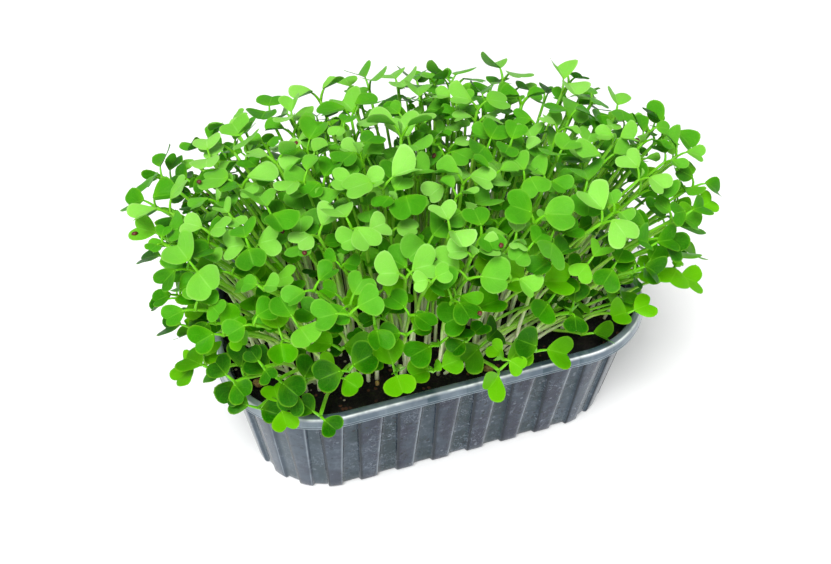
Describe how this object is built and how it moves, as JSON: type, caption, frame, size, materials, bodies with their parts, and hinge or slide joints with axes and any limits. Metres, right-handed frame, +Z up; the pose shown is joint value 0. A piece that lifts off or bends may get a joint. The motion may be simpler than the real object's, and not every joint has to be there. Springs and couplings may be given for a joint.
{
  "type": "potted microgreens",
  "caption": "Rounded clear plastic tray with fluted sides, filled with growing medium and a dense stand of broccoli seedlings with notched seed leaves.",
  "frame": {"origin": "centre of the tray's flat underside, at the level it rests on", "axes": "+Z up, +X along the tray's long side, -Y towards the side seen in front"},
  "size_m": [0.2352, 0.15, 0.1534],
  "materials": {
    "clear_plastic": "thin smoky clear plastic, glossy",
    "growing_medium": "moist dark growing medium, matte",
    "seedling_green": "soft fresh green leaf, satin, with paler stems"
  },
  "bodies": {
    "root": {"tray": "clear_plastic", "growing_medium": "growing_medium", "seedling_tuft_01": "seedling_green", "seedling_tuft_02": "seedling_green", "seedling_tuft_03": "seedling_green", "seedling_tuft_04": "seedling_green", "seedling_tuft_05": "seedling_green", "seedling_tuft_06": "seedling_green", "seedling_tuft_07": "seedling_green", "seedling_tuft_08": "seedling_green", "seedling_tuft_09": "seedling_green", "seedling_tuft_10": "seedling_green", "seedling_tuft_11": "seedling_green", "seedling_tuft_12": "seedling_green", "seedling_tuft_13": "seedling_green", "seedling_tuft_14": "seedling_green", "seedling_tuft_15": "seedling_green", "seedling_tuft_16": "seedling_green", "seedling_tuft_17": "seedling_green", "seedling_tuft_18": "seedling_green", "seedling_tuft_19": "seedling_green", "seedling_tuft_20": "seedling_green", "seedling_tuft_21": "seedling_green", "seedling_tuft_22": "seedling_green", "seedling_tuft_23": "seedling_green", "seedling_tuft_24": "seedling_green", "seedling_tuft_25": "seedling_green", "seedling_tuft_26": "seedling_green", "seedling_tuft_27": "seedling_green", "seedling_tuft_28": "seedling_green", "seedling_tuft_29": "seedling_green", "seedling_tuft_30": "seedling_green", "seedling_tuft_31": "seedling_green", "seedling_tuft_32": "seedling_green", "seedling_tuft_33": "seedling_green", "seedling_tuft_34": "seedling_green", "seedling_tuft_35": "seedling_green", "seedling_tuft_36": "seedling_green", "seedling_tuft_37": "seedling_green", "seedling_tuft_38": "seedling_green", "seedling_tuft_39": "seedling_green", "seedling_tuft_40": "seedling_green", "seedling_tuft_41": "seedling_green", "seedling_tuft_42": "seedling_green", "seedling_tuft_43": "seedling_green", "seedling_tuft_44": "seedling_green"}
  },
  "joints": []
}
